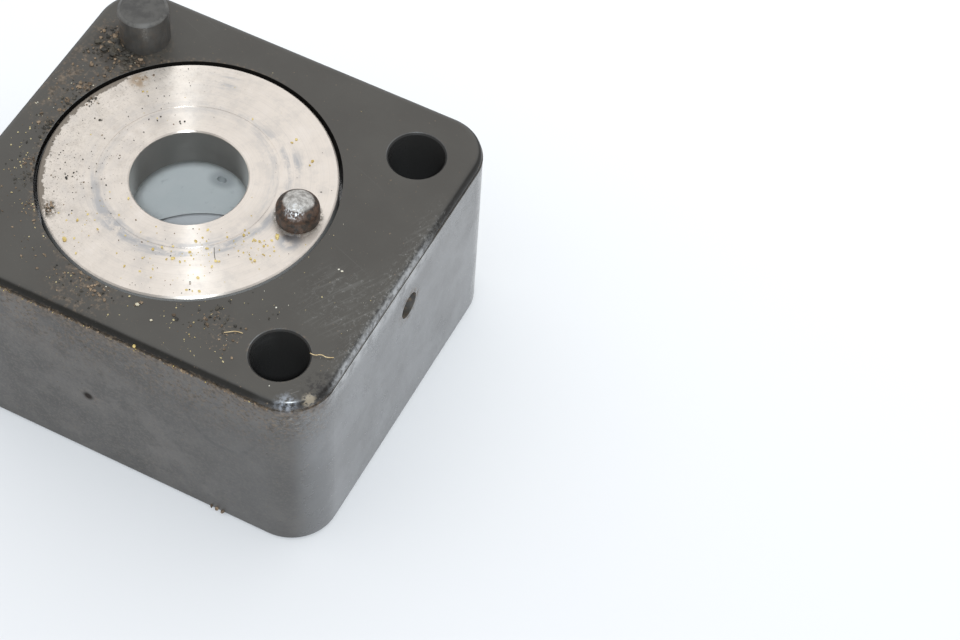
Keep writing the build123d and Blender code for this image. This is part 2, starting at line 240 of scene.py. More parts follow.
# ---- The housing's material -------------------------------------------------
def housing_material():
    """Dark moulded housing: fine grain, a dusty film, scuffs, and dirt in its step."""
    t = Tree("housing_moulded")
    cloud = t.noise(9 * MM, 4)
    upward = t.span(t.normal_z, 0.7, 0.95)
    end_face = t.span(t.normal_x, 0.45, 0.98)
    top_colour = t.mix(t.span(cloud, 0.35, 0.65), (0.055, 0.050, 0.043), (0.063, 0.058, 0.050))
    colour = t.mix(upward, housing_side_colour(t, cloud, end_face), top_colour)

    rubbed = t.times(end_face, t.span(t.y, -19 * MM, -15 * MM), t.span(t.y, 2 * MM, 8 * MM, 1.0, 0.0))
    # Painted shade: the rounded rim is coloured near black, and its specular is dulled below.
    rim = rim_shade_mask(t, rubbed)
    colour = t.mix(t.times(rim, 0.92), colour, (0.018, 0.017, 0.015))
    # Painted shade: the recess wall round the disc is coloured near black.
    recess_shade = recess_shade_mask(t)
    colour = t.mix(recess_shade, colour, (0.010, 0.009, 0.008))
    # The pale band at the step on the long end is partly wear, partly painted light over the step's dark
    # line.
    step_wear_and_light = t.times(rubbed, t.band(t.z, top_z - rim_depth, 0.22 * MM))
    colour = t.mix(t.times(step_wear_and_light, 0.9), colour, (0.50, 0.51, 0.52))
    scuffs = scuff_mask(t, upward)
    colour = t.mix(scuffs, colour, (0.30, 0.295, 0.28))
    colour = t.mix(dark_wear_mask(t), colour, (0.020, 0.018, 0.017))

    dirt = dirt_mask(t, upward)
    earth = t.mix(t.cloudy(0.5 * MM, 4, 0.55, 0.4, 0.6), (0.062, 0.044, 0.028), (0.195, 0.145, 0.10))
    colour = t.mix(dirt, colour, earth)
    colour = front_corner_marks(t, colour)
    wet = t.times(t.near(stud_x - 1.6 * MM, stud_y - 2.6 * MM, 2.4 * MM, 4.6 * MM), upward,
                  t.cloudy(1.5 * MM, 5, 0.7, 0.38, 0.54))
    colour = t.mix(t.times(wet, 0.8), colour, (0.024, 0.019, 0.014))
    rust = t.spot(rust_mark, 0.25 * MM, 1.05 * MM)
    colour = t.mix(rust, colour, (0.012, 0.007, 0.004))
    # Painted shade: the bolt holes' walls are coloured dark.
    hole_shade = bolt_hole_shade_mask(t)
    colour = t.mix(hole_shade, colour, (0.030, 0.029, 0.028))

    corner = t.spot((long_end_x - 3.3 * MM, front_y + 1.3 * MM, top_z - 0.4 * MM), 1.5 * MM, 4.5 * MM)
    dull = t.largest(t.times(rim, t.math("SUBTRACT", 1.0, corner)), recess_shade, rust, hole_shade)
    t.feed(t.shader.inputs["Specular IOR Level"], t.span(dull, 0.2, 1.0, 0.5, 0.07))
    rough = t.cloudy(3 * MM, 5, 0.7, 0.3, 0.7, 0.30, 0.42)
    rough = t.math("SUBTRACT", rough, t.times(end_face, 0.14))
    rough = t.math("SUBTRACT", rough, t.times(rim, corner, 0.14))
    rough = t.math("ADD", rough, t.times(t.largest(scuffs, dirt), 0.3))
    normal = t.bump(t.noise(0.12 * MM, 2), 0.010 * MM, 0.5)
    normal = t.bump(t.noise(2.5 * MM, 3), 0.04 * MM, 0.4, normal)
    return t.finish(colour, rough, normal, IOR=1.5)


def housing_side_colour(t, cloud, end_face):
    """The sides: grainy and smudged at the front, darker towards the base and lighter towards the long end;
    painted reflection makes the long end's face pale, and it is scraped under its rim.
    """
    colour = t.mix(t.span(cloud, 0.35, 0.65), (0.049, 0.0455, 0.042), (0.094, 0.087, 0.081))
    colour = t.mix(t.cloudy(1.6 * MM, 6, 0.65, 0.45, 0.75, 0.0, 0.45), colour, (0.120, 0.110, 0.098))
    fine = t.cloudy(0.35 * MM, 5, 0.75, 0.56, 0.72)
    fine = t.times(fine, t.span(cloud, 0.40, 0.60), t.times(fine, 0.55))
    colour = t.mix(fine, colour, (0.17, 0.155, 0.135))
    colour = t.mix(t.cloudy(3.6 * MM, 6, 0.68, 0.46, 0.62, 0.0, 0.75), colour, (0.046, 0.043, 0.040))
    colour = t.mix(t.cloudy(0.34 * MM, 4, 0.7, 0.46, 0.66, 0.0, 0.45), colour, (0.145, 0.130, 0.108))
    dark_grain = t.noise(1.0, 4, 0.7, t.stretched(0.3, 0.5 * MM, 0.4 * MM, 9.0))
    colour = t.mix(t.span(dark_grain, 0.58, 0.70, 0.0, 0.6), colour, (0.032, 0.030, 0.028))

    curl = t.band(t.distance((17.0 * MM, front_y, top_z - 9.0 * MM)), 4.2 * MM, 0.45 * MM)
    curl = t.times(curl, t.cloudy(3 * MM, 5, 0.7, 0.42, 0.60), t.span(t.normal_y, -0.8, -0.98))
    colour = t.mix(t.times(curl, 0.9), colour, (0.036, 0.034, 0.032))
    colour = t.mix(t.span(t.z, base_z + 4 * MM, base_z, 0.0, 0.35), colour, (0.040, 0.038, 0.036))
    colour = t.mix(t.span(t.x, 5 * MM, 22 * MM, 0.0, 0.4), colour, (0.098, 0.096, 0.094))

    # Painted reflection: the long end's face is coloured pale for the bright floor it reflects.
    end_patches = t.cloudy(7 * MM, 6, 0.6, 0.36, 0.62)
    end_reflection_colour = t.mix(end_patches, (0.145, 0.147, 0.150), (0.190, 0.194, 0.200))
    colour = t.mix(t.times(end_face, 0.93), colour, end_reflection_colour)
    scraped = t.times(end_face, t.span(t.z, top_z - 4.6 * MM, top_z - rim_depth),
                      t.span(t.y, -20 * MM, -14 * MM), t.span(t.y, 0.0, 12 * MM, 1.0, 0.0),
                      t.cloudy(2.0 * MM, 5, 0.7, 0.35, 0.60))
    return t.mix(t.times(scraped, 0.8), colour, (0.46, 0.47, 0.48))


def rim_shade_mask(t, rubbed):
    """Painted shade on the rounded rim of the top face, less where the long end is rubbed."""
    rounded = t.times(t.span(t.z, top_z - rim_depth, top_z - rim_depth + 0.1 * MM),
                      t.span(t.normal_z, 0.999, 0.70))
    outer = []
    for value, middle, half in ((t.x, block_middle.x, block_half.x), (t.y, block_middle.y, block_half.y)):
        off = t.math("ABSOLUTE", t.math("SUBTRACT", value, middle))
        outer.append(t.span(off, half - rim_reach - 0.2 * MM, half - rim_reach))
    return t.times(rounded, t.largest(*outer), t.span(rubbed, 0.0, 1.0, 1.0, 0.12))


def recess_shade_mask(t):
    """Painted shade on the wall of the disc's recess, which shows as a dark line round the disc."""
    wall = t.span(t.radius(), recess_radius + 0.14 * MM, recess_radius + 0.03 * MM)
    return t.times(wall, t.span(t.z, top_z - 0.02 * MM, top_z - 0.10 * MM))


def bolt_hole_shade_mask(t):
    """Painted shade on the walls of the two bolt holes."""
    holes = [t.near(bolt_x, bolt_y + side * bolt_reach, bolt_radius + 0.6 * MM, bolt_radius + 0.8 * MM)
             for side in (-1, 1)]
    return t.times(t.largest(*holes), t.span(t.z, top_z - 0.02 * MM, top_z - 0.12 * MM, 0.0, 0.95))


def front_corner_marks(t, colour):
    """A pale chip, and a painted bluish highlight on the rim of the front corner."""
    chip = t.spot((long_end_x - 1.3 * MM, front_y + 2.6 * MM, top_z - 0.3 * MM), 0.4 * MM, 1.05 * MM)
    chip = t.times(chip, t.cloudy(0.5 * MM, 4, 0.55, 0.40, 0.50))
    colour = t.mix(t.times(chip, 0.85), colour, (0.30, 0.255, 0.19))
    # Painted highlight: a bluish glint on the corner's rounded rim.
    glint = t.spot((long_end_x - 3.3 * MM, front_y + 1.0 * MM, top_z - 0.5 * MM), 0.4 * MM, 1.7 * MM)
    glint = t.times(glint, t.cloudy(0.7 * MM, 4, 0.7, 0.40, 0.60))
    return t.mix(t.times(glint, 0.62), colour, (0.36, 0.39, 0.44))


def scuff_mask(t, upward):
    """Light scratches on the top face near the long end, and a rubbed long edge."""
    streaks = t.lines(math.radians(-60), 5 * MM, 0.40 * MM, 0.50, 0.72)
    cross = t.lines(math.radians(-80), 1.5 * MM, 0.10 * MM, 0.60, 0.68, 3.0)
    wide = t.lines(math.radians(20), 30 * MM, 0.10 * MM, 0.72, 0.78, 7.0)
    short = t.lines(math.radians(80), 0.9 * MM, 0.12 * MM, 0.58, 0.68, 11.0)
    powder = t.noise(0.55 * MM, 6, 0.8)

    patch = t.near(bolt_x + 2.2 * MM, -7 * MM, 2 * MM, 6.5 * MM)
    past_corner = t.span(t.y, -19 * MM, -12 * MM)
    end = t.times(t.span(t.x, long_end_x - 3.2 * MM, long_end_x - 0.8 * MM), past_corner,
                  t.span(t.y, 4 * MM, 14 * MM, 1.0, 0.0))
    near = t.times(t.largest(streaks, cross), t.largest(patch, end), upward)
    haze = t.times(patch, t.span(powder, 0.52, 0.66), t.span(streaks, 0.0, 0.6, 0.35, 1.0), upward)

    flakes = t.times(end, t.span(powder, 0.47, 0.60), t.largest(short, t.span(powder, 0.56, 0.66)),
                     t.span(t.z, top_z - 2.6 * MM, top_z - 0.5 * MM))
    nicks = t.times(t.cloudy(0.30 * MM, 3, 0.6, 0.66, 0.74), end, t.span(t.z, top_z - 5 * MM, top_z))
    corner = t.spot((long_end_x - 1.5 * MM, front_y + 1.5 * MM, top_z - 3 * MM), 1 * MM, 5 * MM)
    chips = t.times(t.lines(math.radians(-45), 1.5 * MM, 0.15 * MM, 0.60, 0.66, 5.0), corner)
    edge = t.times(t.span(t.x, long_end_x - 1.1 * MM, long_end_x - 0.6 * MM), past_corner,
                   t.span(t.y, 2 * MM, 12 * MM, 1.0, 0.0),
                   t.span(t.z, top_z - 1.6 * MM, top_z - 0.5 * MM),
                   t.cloudy(0.7 * MM, 6, 0.8, 0.47, 0.58))
    amount = t.largest(t.times(near, 0.20), t.times(haze, 0.95), flakes, nicks, chips, t.times(edge, 0.6),
                       t.times(wide, 0.3))
    return t.math("MULTIPLY", amount, 0.7, clamp=True)


def dark_wear_mask(t):
    """Dark knocks along the rim of the long end, most of them at the front corner."""
    place = (long_end_x - 0.4 * MM, front_y + 4.2 * MM, top_z - 0.2 * MM)
    corner = t.spot(place, 1.2 * MM, 3.4 * MM)
    rim = t.times(t.span(t.x, long_end_x - 1.2 * MM, long_end_x - 0.4 * MM),
                  t.band(t.z, top_z - 0.8 * MM, 1.0 * MM))
    knocks = t.cloudy(0.8 * MM, 5, 0.75, 0.46, 0.58)
    return t.times(knocks, t.largest(corner, t.times(rim, 0.7)), 0.92)


def dirt_mask(t, upward):
    """Brown dirt in the step under the rim, round the stud and the disc, and on the front face."""
    grit = t.cloudy(0.7 * MM, 5, 0.7, 0.47, 0.62)
    specks = t.cloudy(0.40 * MM, 3, 0.6, 0.66, 0.73)
    halo = t.times(t.spot(rust_mark, 0.5 * MM, 2.2 * MM), grit)
    screw = t.times(t.spot(screw_head, 1.7 * MM, 2.9 * MM), t.cloudy(0.8 * MM, 5, 0.75, 0.44, 0.60))
    mouth = t.times(t.ring(bolt_radius, 0.5 * MM, bolt_x, bolt_y - bolt_reach),
                    t.cloudy(0.9 * MM, 4, 0.55, 0.50, 0.62),
                    t.span(t.z, top_z - 0.9 * MM, top_z - 0.3 * MM))
    amount = t.largest(front_dirt_mask(t), t.times(top_dirt_mask(t, grit), upward), mouth,
                       t.times(halo, 0.5), specks, screw)
    return t.math("MULTIPLY", amount, 0.8, clamp=True)


def front_dirt_mask(t):
    """Dirt in the step under the rim and on the face below it, most of it at the front."""
    front = t.span(t.y, front_y + 2 * MM, front_y + 6 * MM, 1.0, 0.15)
    step = t.times(t.band(t.z, top_z - rim_depth - 0.1 * MM, 0.38 * MM),
                   t.cloudy(1.5 * MM, 4, 0.7, 0.40, 0.60), front)
    below = t.times(t.span(t.z, top_z - 13 * MM, top_z - rim_depth),
                    t.span(t.z, top_z - 0.6 * MM, top_z - 1.2 * MM),
                    t.cloudy(0.42 * MM, 5, 0.75, 0.47, 0.60),
                    t.cloudy(5 * MM, 3, 0.55, 0.22, 0.48), front)
    dusty = t.times(t.span(t.z, top_z - 3.6 * MM, top_z - 1.5 * MM),
                    t.span(t.z, top_z - 0.8 * MM, top_z - 1.3 * MM),
                    t.cloudy(1.4 * MM, 6, 0.75, 0.40, 0.58), front)
    return t.largest(step, below, t.times(dusty, 0.9))


def top_dirt_mask(t, grit):
    """Dirt on the top face: by the stud, round the recess and along the front."""
    stud = t.times(t.near(stud_x - 1.2 * MM, stud_y - 1.5 * MM, stud_radius, stud_radius + 3 * MM), grit)
    left = t.times(t.near(-17 * MM, 6 * MM, 3 * MM, 10 * MM), t.cloudy(1.6 * MM, 6, 0.8, 0.46, 0.62))
    brim = t.times(t.ring(recess_radius, 0.9 * MM), grit, t.span(t.x, 6 * MM, -4 * MM))
    foot = t.times(t.near(-2 * MM, -18.6 * MM, 1.5 * MM, 6 * MM), t.cloudy(0.9 * MM, 5, 0.8, 0.47, 0.62))
    trail = t.times(t.near(14 * MM, -16.7 * MM, 0.5 * MM, 3.5 * MM),
                    t.cloudy(0.5 * MM, 5, 0.75, 0.54, 0.64))
    return t.largest(stud, left, brim, foot, trail)


# ---- The disc's material ----------------------------------------------------
def disc_material():
    """Turned aluminium: fine tool rings, bluish rubbed arcs, and dark specks towards the short end."""
    t = Tree("disc_turned")
    tool_rings = t.rings(0.14 * MM, 2.0)
    colour = disc_bare_colour(t, tool_rings)
    colour = t.mix(t.times(disc_rubbed_mask(t), 0.88), colour, (0.45, 0.465, 0.49))
    ochre = t.times(t.near(-12.4 * MM, 9.6 * MM, 0.4 * MM, 1.6 * MM), t.cloudy(0.8 * MM, 4, 0.55, 0.36, 0.56))
    colour = t.mix(t.times(ochre, 0.6), colour, (0.45, 0.27, 0.10))
    fog = t.times(t.cloudy(1.6 * MM, 6, 0.8, 0.46, 0.64), t.span(t.x, 4 * MM, -11 * MM))
    colour = t.mix(t.times(fog, 0.24), colour, (0.42, 0.37, 0.32))
    stain = disc_stain_mask(t)
    colour = t.mix(stain, colour, (0.11, 0.085, 0.060))
    # Painted shade: the disc's side wall in the gap is coloured near black.
    side = t.times(t.span(t.radius(), disc_radius - 0.3 * MM, disc_radius - 0.1 * MM),
                   t.span(t.z, top_z - 0.12 * MM, top_z - 0.3 * MM))
    colour = t.mix(side, colour, (0.015, 0.014, 0.012))
    wall = t.span(t.z, top_z - 0.1 * MM, top_z - 0.4 * MM)
    colour = t.mix(t.times(wall, 0.9), colour, (0.53, 0.52, 0.50))

    bare = t.span(t.largest(stain, side), 0.0, 1.0, 1.0, 0.1)
    t.feed(t.shader.inputs["Metallic"], t.times(bare, t.span(wall, 0.0, 1.0, 1.0, 0.9)))
    t.feed(t.shader.inputs["Anisotropic"], t.span(wall, 0.0, 1.0, 0.88, 0.65))
    tangent = t.add("ShaderNodeTangent", {"direction_type": "RADIAL", "axis": "Z"})
    t.feed(t.shader.inputs["Tangent"], tangent.outputs[0])
    rough = t.cloudy(3.0 * MM, 6, 0.65, 0.3, 0.7, 0.30, 0.38)
    return t.finish(colour, rough, t.bump(tool_rings, 0.004 * MM, 0.6), Anisotropic_Rotation=0.25)


def disc_bare_colour(t, tool_rings):
    """Clean turned metal, with cloudy patches and tool rings."""
    warm = t.span(t.x, -disc_radius, 0.5 * disc_radius)
    colour = t.mix(warm, (0.84, 0.770, 0.690), (0.895, 0.820, 0.740))
    patches = t.noise(3.4 * MM, 7, 0.72)
    colour = t.mix(t.span(patches, 0.47, 0.62, 0.0, 0.42), colour, (0.68, 0.64, 0.60))
    colour = t.mix(t.span(patches, 0.48, 0.34, 0.0, 0.60), colour, (0.94, 0.87, 0.80))
    colour = t.mix(t.span(t.rings(1.3 * MM, 3.0), 0.45, 0.75, 0.0, 0.22), colour, (0.66, 0.62, 0.59))
    return t.mix(t.span(tool_rings, 0.40, 0.70, 0.0, 0.12), colour, (0.55, 0.52, 0.50))


def disc_rubbed_mask(t):
    """Bluish rubbed arcs round the bore, and a smear beside the pin."""
    belt = t.times(t.ring(10.6 * MM, 2.2 * MM),
                   t.span(t.math("SUBTRACT", t.x, t.y), -14 * MM, 6 * MM, 0.35, 1.0))
    belt = t.largest(belt, t.near(-4 * MM, 14.5 * MM, 0.5 * MM, 3.2 * MM),
                     t.near(9.0 * MM, 7.0 * MM, 0.5 * MM, 3.2 * MM))
    arcs = t.span(t.noise(1.0, 5, 0.65, t.polar(8 * MM, 1.1 * MM)), 0.38, 0.62)
    arcs = t.times(arcs, belt, t.cloudy(2.6 * MM, 5, 0.7, 0.36, 0.54))
    smear = t.times(t.near(pin_x + 0.8 * MM, pin_y - 3.4 * MM, 0.6 * MM, 2.0 * MM),
                    t.cloudy(1.2 * MM, 4, 0.55, 0.35, 0.55))
    return t.largest(arcs, smear)


def disc_stain_mask(t):
    """Dark pits, a ragged dirty edge towards the short end, and dirt at the pin's foot."""
    pits = t.times(t.cloudy(0.28 * MM, 4, 0.65, 0.60, 0.68), t.cloudy(2.0 * MM, 4, 0.65, 0.44, 0.60),
                   t.span(t.x, 4 * MM, -11 * MM, 0.06, 1.0))
    crowded = t.times(t.span(t.radius(), 11 * MM, 16 * MM), t.span(t.x, -5 * MM, -12 * MM),
                      t.cloudy(0.34 * MM, 5, 0.7, 0.55, 0.64))
    edge = t.times(t.ring(disc_radius, 1.6 * MM), t.span(t.x, -10 * MM, -13 * MM),
                   t.span(t.y, 12 * MM, 8 * MM))
    edge = t.math("ADD", edge, t.times(t.noise(1.0 * MM, 5, 0.75), 1.6))
    edge = t.span(edge, 1.34, 1.46)
    foot = t.times(t.ring(pin_radius + 0.1 * MM, 0.45 * MM, pin_x, pin_y),
                   t.cloudy(0.6 * MM, 4, 0.7, 0.40, 0.56))
    mark = t.times(t.near(-11.6 * MM, -11.6 * MM, 0.8 * MM, 2.1 * MM),
                   t.cloudy(0.9 * MM, 5, 0.8, 0.44, 0.54))
    return t.times(t.largest(t.times(t.largest(pits, t.times(crowded, 0.8)), 0.75), edge, foot, mark), 0.9)


# ---- The other materials ----------------------------------------------------
def steel_material(name, colour, roughness, stain=None):
    """Plain steel with a fine surface, and with a stain's colour in patches."""
    t = Tree(name)
    cloud = t.noise(2.0 * MM, 4)
    lighter = tuple(min(1.0, part * 1.15) for part in colour)
    shade = t.mix(t.span(cloud, 0.3, 0.7), colour, lighter)
    if stain:
        shade = t.mix(t.cloudy(1.1 * MM, 5, 0.7, 0.52, 0.66, 0.0, 0.8), shade, stain)
    rough = t.span(cloud, 0.3, 0.7, roughness * 0.85, roughness * 1.15)
    normal = t.bump(t.noise(0.2 * MM, 2), 0.004 * MM, 0.5)
    return t.finish(shade, rough, normal, Metallic=1.0)


def sleeve_material():
    """Pale bluish sleeve with a matt, even surface, a few grey smudges, and grey painted shade in and round
    its grease hole.
    """
    t = Tree("sleeve_matt")
    colour = t.mix(t.cloudy(4.0 * MM, 4, 0.55, 0.35, 0.65), (0.93, 0.96, 0.95), (0.97, 0.99, 0.98))
    # Painted shade: a grey spot round the grease hole; the cloudy grey smudges elsewhere are dirt.
    smudge_and_hole_shade = t.times(t.spot(grease_hole, 0.8 * MM, 2.2 * MM), 0.60)
    smudge_and_hole_shade = t.largest(smudge_and_hole_shade, t.cloudy(1.5 * MM, 4, 0.55, 0.60, 0.75, 0.0, 0.3))
    colour = t.mix(smudge_and_hole_shade, colour, (0.42, 0.44, 0.45))
    # Painted shade inside the grease hole.
    hole = t.times(t.spot(grease_hole, 0.9 * MM, 1.1 * MM),
                   t.span(t.radius(), sleeve_radius + 0.02 * MM, sleeve_radius + 0.08 * MM))
    colour = t.mix(hole, colour, (0.40, 0.42, 0.42))
    return t.finish(colour, 0.42, t.bump(t.noise(0.2 * MM, 2), 0.004 * MM, 0.5))


def pin_material():
    """Rusty steel pin with a pale dome; the bright patch on its front is scratches with a painted highlight.
    """
    t = Tree("pin_rusty")
    rust_noise = t.noise(0.8 * MM, 6, 0.7)
    dome = t.spot((pin_x, pin_y + 0.3 * MM, pin_high.z), 1.1 * MM, 2.5 * MM)
    dome = t.span(t.math("ADD", dome, t.times(rust_noise, 0.5)), 0.55, 0.95)
    pale = t.mix(t.cloudy(0.7 * MM, 5, 0.7, 0.35, 0.65), (0.28, 0.265, 0.245), (0.60, 0.58, 0.55))
    rust = t.mix(t.span(rust_noise, 0.40, 0.62), (0.022, 0.017, 0.013), (0.085, 0.047, 0.029))
    colour = t.mix(dome, rust, pale)
    # The bright front patch: scratches, with a painted highlight.
    patch = t.spot((pin_x + 0.3 * MM, pin_y - 1.3 * MM, pin_high.z - 0.4 * MM), 0.5 * MM, 1.5 * MM)
    scratches = t.noise(1.0, 3, 0.6, t.stretched(math.radians(70), 0.35 * MM, 0.22 * MM))
    bright = t.times(patch, t.span(scratches, 0.44, 0.70))
    colour = t.mix(bright, colour, (0.66, 0.67, 0.68))
    t.feed(t.shader.inputs["Metallic"], t.span(t.largest(dome, bright), 0.0, 1.0, 0.2, 0.6))
    rough = t.span(bright, 0.0, 1.0, 0.55, 0.42)
    return t.finish(colour, rough, t.bump(rust_noise, 0.10 * MM, 0.9))


def stud_material():
    """Dark stud with a painted highlight round its top edge and brown dirt on its side."""
    t = Tree("stud_dark")
    cloud = t.noise(1.3 * MM, 5, 0.65)
    colour = t.mix(t.span(cloud, 0.35, 0.7), (0.048, 0.046, 0.043), (0.064, 0.061, 0.057))
    # Painted highlight round the stud's top edge.
    rubbed = t.times(t.band(t.z, stud_high.z - 0.2 * MM, 0.35 * MM), t.span(cloud, 0.35, 0.6))
    colour = t.mix(t.times(rubbed, 0.3), colour, (0.22, 0.21, 0.19))
    crust = t.times(t.span(t.z, stud_high.z - 0.2 * MM, stud_high.z - 0.8 * MM),
                    t.cloudy(0.8 * MM, 5, 0.72, 0.44, 0.60),
                    t.span(t.x, stud_x, stud_x - 2 * MM, 0.15, 1.0))
    colour = t.mix(t.times(crust, 0.75), colour, (0.13, 0.090, 0.055))
    rough = t.span(cloud, 0.3, 0.7, 0.40, 0.55)
    return t.finish(colour, rough, t.bump(cloud, 0.05 * MM, 0.7), IOR=1.5)


def screw_material():
    """Black-oxide set screw with greenish-brown dirt."""
    t = Tree("screw_black")
    dirt = t.cloudy(0.5 * MM, 5, 0.7, 0.42, 0.60)
    colour = t.mix(dirt, (0.05, 0.05, 0.045), (0.14, 0.12, 0.07))
    return t.finish(colour, 0.5, t.bump(t.noise(0.2 * MM, 3), 0.01 * MM, 0.6), Metallic=0.4)


def grit_material(name, dull, bright):
    """Loose dirt, each grain a little different."""
    t = Tree(name)
    tone = t.cloudy(0.9 * MM, 3, 0.55, 0.35, 0.65)
    return t.finish(t.mix(tone, dull, bright), 0.6, IOR=1.45)


def apply_materials():
    """Gives every CAD node the material of its slot."""
    looks = {
        "housing": housing_material(),
        "stud": stud_material(),
        "screw": screw_material(),
        "disc": disc_material(),
        "pin": pin_material(),
        "sleeve": sleeve_material(),
        "spacer": steel_material("spacer_turned", (0.24, 0.24, 0.235), 0.35),
        "spring_steel": steel_material("spring_steel", (0.16, 0.16, 0.17), 0.35, stain=(0.12, 0.07, 0.04)),
        "bearing_ring": steel_material("bearing_ring", (0.60, 0.60, 0.60), 0.18),
        "ball": steel_material("ball_polished", (0.75, 0.75, 0.75), 0.06),
        "cage": steel_material("cage_brass", (0.70, 0.52, 0.25), 0.35),
        "shield": steel_material("shield_pressed", (0.50, 0.50, 0.50), 0.28),
    }
    for entry in frame["record"]["subparts"]:
        node = frame["nodes"][entry["node"]]
        for slot in node.material_slots:
            slot.material = looks[entry["material_slot"]]


# ---- Loose dirt -------------------------------------------------------------
def add_grain(bm, rng, place, size):
    """One lumpy grain that sits on the surface under it."""
    shape = bmesh.ops.create_icosphere(bm, subdivisions=1, radius=size / 2)
    stretch = Vector((rng.uniform(0.7, 1.3), rng.uniform(0.6, 1.1), rng.uniform(0.4, 0.7)))
    turn = Matrix.Rotation(rng.uniform(0, math.tau), 3, "Z")
    centre = Vector(place) + Vector((0, 0, 0.15 * size))
    for vertex in shape["verts"]:
        lump = vertex.co * rng.uniform(0.75, 1.2)
        vertex.co = turn @ Vector(a * b for a, b in zip(lump, stretch)) + centre


def allowed_on_disc(x, y):
    """True on the disc's face, clear of its rim, its bore and the pin."""
    radius = math.hypot(x, y)
    off_pin = math.hypot(x - pin_x, y - pin_y) > pin_radius + 0.2 * MM
    return bore_radius + 0.4 * MM < radius < disc_radius - 0.5 * MM and off_pin


def allowed_on_housing(x, y):
    """True on the housing's top face, clear of its rim, the recess, the stud and the holes."""
    margin = 1.4 * MM
    inside_x = block_low.x + margin < x < block_high.x - margin
    inside_y = block_low.y + margin < y < block_high.y - margin
    clear = math.hypot(x, y) > recess_radius + 0.1 * MM
    clear = clear and math.hypot(x - stud_x, y - stud_y) > stud_radius + 0.2 * MM
    for side in (-1, 1):
        clear = clear and math.hypot(x - bolt_x, y - bolt_y - side * bolt_reach) > bolt_radius + 0.4 * MM
    return inside_x and inside_y and clear


def scatter(name, body, material, clusters, allowed, seed):
    """Grains in round clusters: x, y, spread, count, smallest and largest size, in millimetres."""
    rng = random.Random(seed)
    bm = bmesh.new()
    for x, y, spread, count, small, large in clusters:
        for _ in range(count):
            px = rng.gauss(x, spread) * MM
            py = rng.gauss(y, spread) * MM
            size = (small + (large - small) * rng.random() ** 2) * MM
            if allowed(px, py):
                add_grain(bm, rng, (px, py, top_z), size)
    add_grains(name, bm, body, material)


def add_grains(name, bm, body, material):
    """Turns the grains of a mesh in progress into one piece."""
    mesh = bpy.data.meshes.new(name)
    bm.to_mesh(mesh)
    bm.free()
    add_piece(name, mesh, body, material)


def add_piece(name, shape, body, material):
    """A piece that moves with a body, from a mesh or a curve."""
    shape.materials.append(material)
    piece = bpy.data.objects.new(name, shape)
    bpy.context.scene.collection.objects.link(piece)
    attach(piece, body)


def add_hair(name, body, material, points, thickness):
    """A loose hair or fibre through some points, in millimetres."""
    curve = bpy.data.curves.new(name, "CURVE")
    curve.dimensions = "3D"
    curve.bevel_depth = thickness / 2 * MM
    curve.bevel_resolution = 1
    spline = curve.splines.new("NURBS")
    spline.points.add(len(points) - 1)
    for point, (x, y, z) in zip(spline.points, points):
        point.co = (x * MM, y * MM, top_z + z * MM, 1.0)
    spline.order_u = 3
    spline.use_endpoint_u = True
    add_piece(name, curve, body, material)


def add_ledge_dirt(name, material, count, smallest, largest, lumps, seed):
    """Grains caught in the step along the front side, and a few lumps by x, z and size in millimetres."""
    rng = random.Random(seed)
    bm = bmesh.new()
    corner_reach = 5 * MM
    for _ in range(count):
        x = rng.uniform(block_low.x + corner_reach, long_end_x - corner_reach)
        depth = rim_depth + rng.gauss(0.05, 0.15) * MM
        add_grain(bm, rng, (x, front_y - 0.01 * MM, top_z - depth), rng.uniform(smallest, largest) * MM)
    for x, z, size in lumps:
        add_grain(bm, rng, (x * MM, front_y, top_z + z * MM), size * MM)
    add_grains(name, bm, "housing", material)


